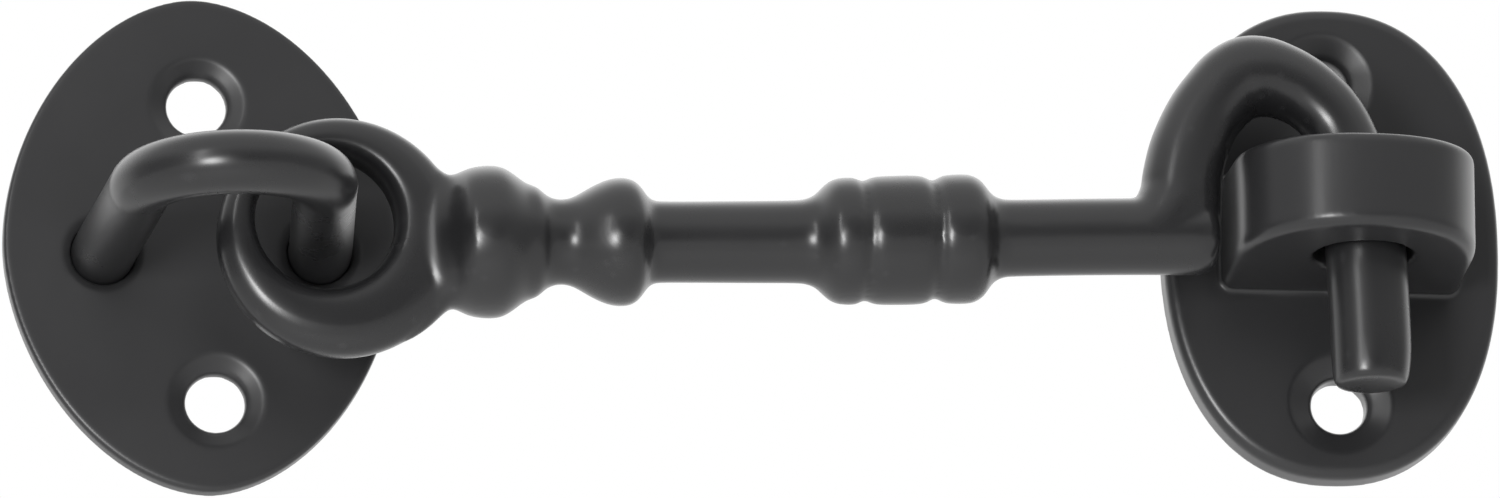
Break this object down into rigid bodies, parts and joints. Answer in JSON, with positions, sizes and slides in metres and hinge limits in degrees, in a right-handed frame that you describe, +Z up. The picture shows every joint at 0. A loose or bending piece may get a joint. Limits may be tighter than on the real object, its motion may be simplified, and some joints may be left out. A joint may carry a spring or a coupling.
{
  "type": "cabin hook",
  "caption": "Cabin hook that holds a door or gate: a ringed arm pivots on a staple plate and its crook drops through the bored lug of a catch plate.",
  "frame": {"origin": "centre of the eye plate's back face, midway between its screw holes", "axes": "+Y into the surface that both plates are screwed to, +X along the hooked arm towards the catch plate, +Z up"},
  "size_m": [0.1307, 0.0322, 0.0442],
  "materials": {
    "plate_coating": "satin black coating on pressed steel",
    "rod_coating": "satin black coating on bent steel rod",
    "arm_coating": "satin black coating on cast metal",
    "catch_coating": "satin black coating on cast metal"
  },
  "bodies": {
    "plates": {"eye_plate": "plate_coating", "eye_staple": "rod_coating", "catch_plate": "catch_coating"},
    "arm": {"arm": "arm_coating"}
  },
  "joints": [
    {"name": "arm_lift", "type": "hinge", "parent": "plates", "child": "arm", "pos_m": [0.00905, -0.0136, -0.0008], "axis": [0, -1, 0], "range_deg": [-0.7, 150]}
  ]
}
